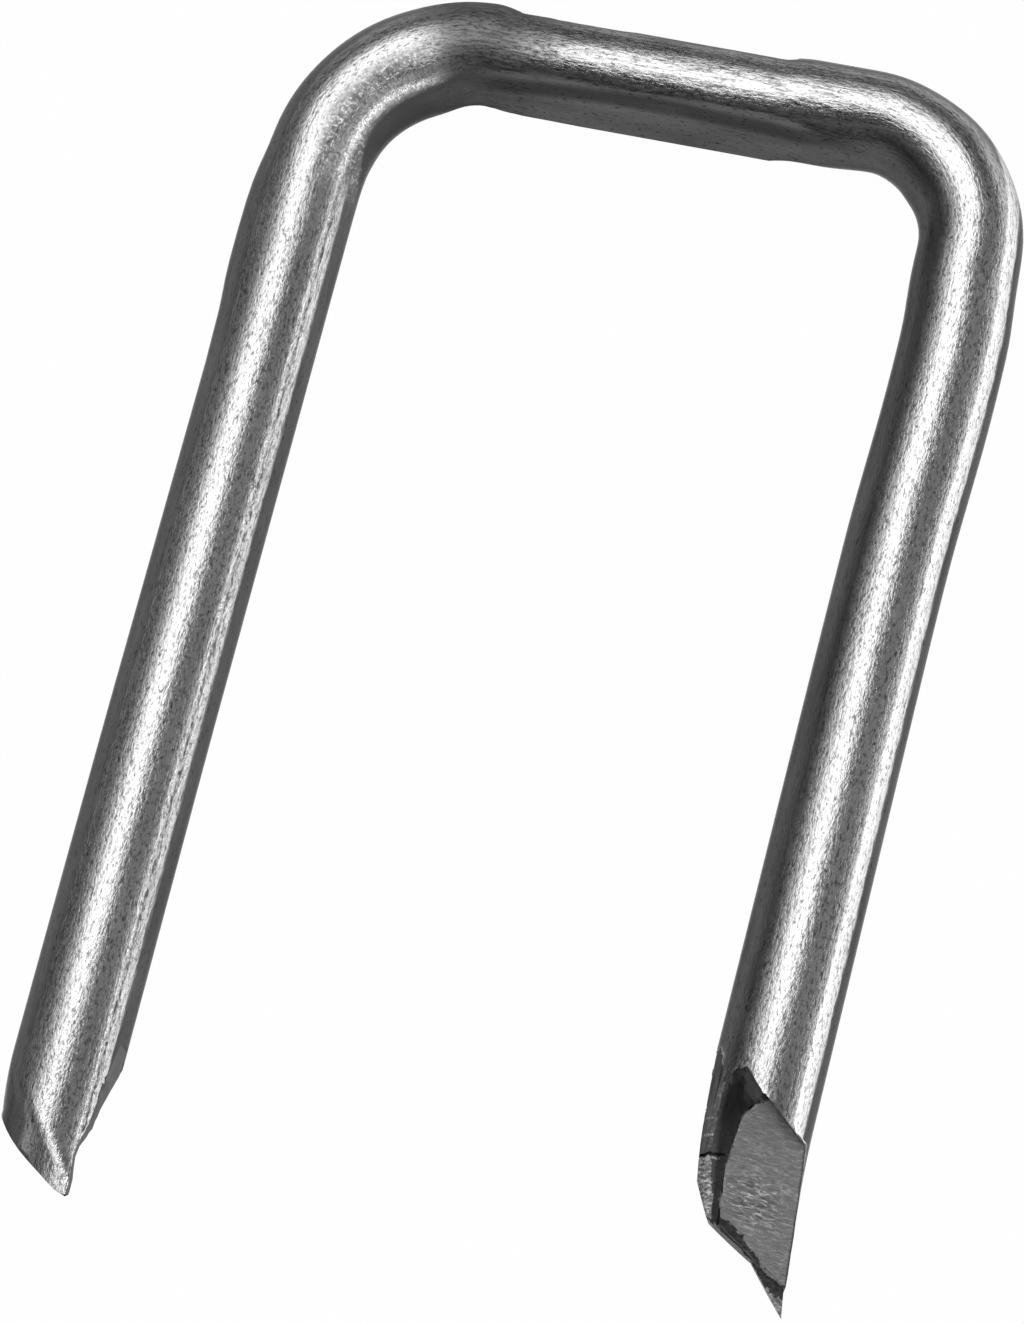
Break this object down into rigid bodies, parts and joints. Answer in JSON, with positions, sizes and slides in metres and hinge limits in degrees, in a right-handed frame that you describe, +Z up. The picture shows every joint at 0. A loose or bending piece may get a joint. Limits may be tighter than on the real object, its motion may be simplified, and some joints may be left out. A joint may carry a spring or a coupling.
{
  "type": "cable staple",
  "caption": "U-shaped round-wire cable staple with a pressed crown and obliquely sheared points, lying flat.",
  "frame": {"origin": "centre of the bounding box in X and Y, on the surface that the staple lies on", "axes": "+Y from the points towards the crown, along the legs; +Z up from the surface it lies on; +X across the legs, towards the leg whose cut face is turned up"},
  "size_m": [0.0202, 0.0332, 0.0027],
  "materials": {
    "staple": "drawn bright steel wire, lightly rubbed and speckled"
  },
  "bodies": {
    "root": {"staple": "staple"}
  },
  "joints": []
}
